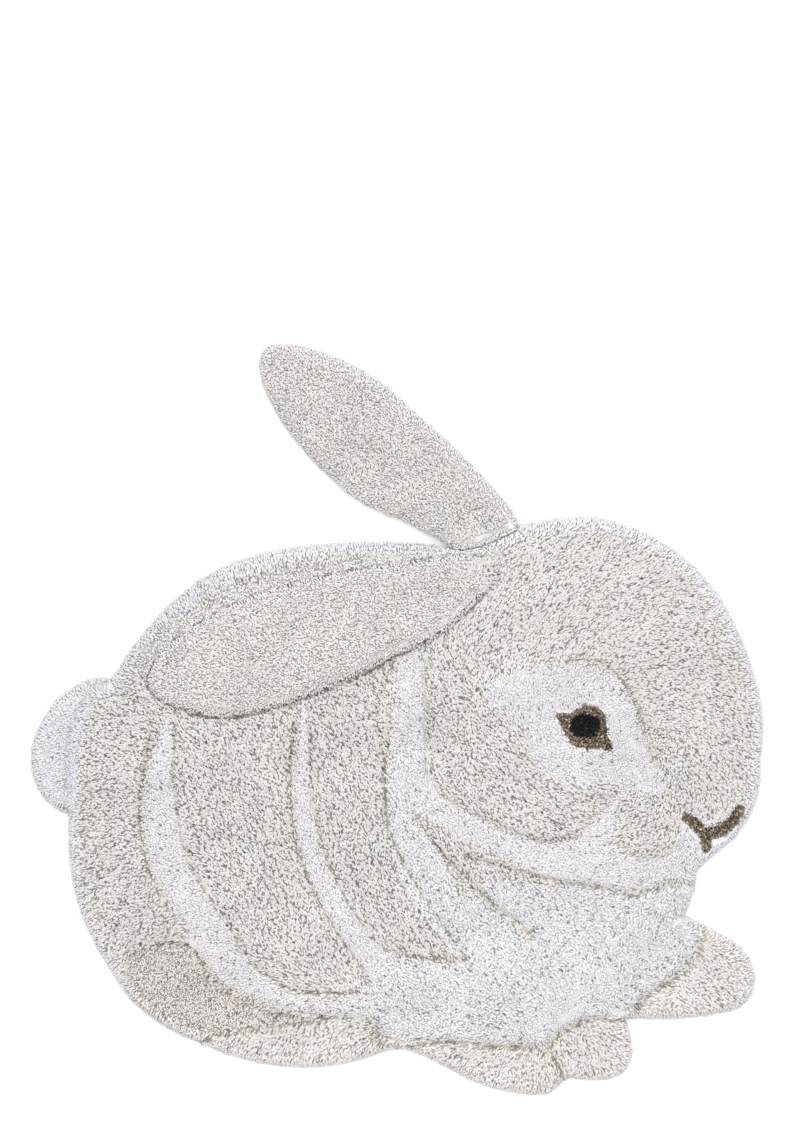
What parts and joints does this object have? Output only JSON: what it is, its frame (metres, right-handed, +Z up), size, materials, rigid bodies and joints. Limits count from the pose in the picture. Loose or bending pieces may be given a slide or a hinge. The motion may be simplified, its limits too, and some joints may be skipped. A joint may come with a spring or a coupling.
{
  "type": "rabbit shaped kids rug",
  "caption": "Tufted floor rug in the outline of a crouching rabbit, with a short-pile ear laid back over the body and a second ear standing out from the head.",
  "frame": {"origin": "on the floor, under the middle of the rug's bounding box", "axes": "+X towards the rabbit's nose, +Y towards its back and the raised ear, +Z up out of the pile"},
  "size_m": [1.1034, 1.1266, 0.034],
  "materials": {
    "long_pile": "long cut cotton pile, undyed ecru with bleached white parts",
    "short_pile": "short dense cotton pile, undyed ecru"
  },
  "bodies": {
    "root": {"rug": "long_pile", "ear_raised": "short_pile", "ear_laid": "short_pile"}
  },
  "joints": []
}
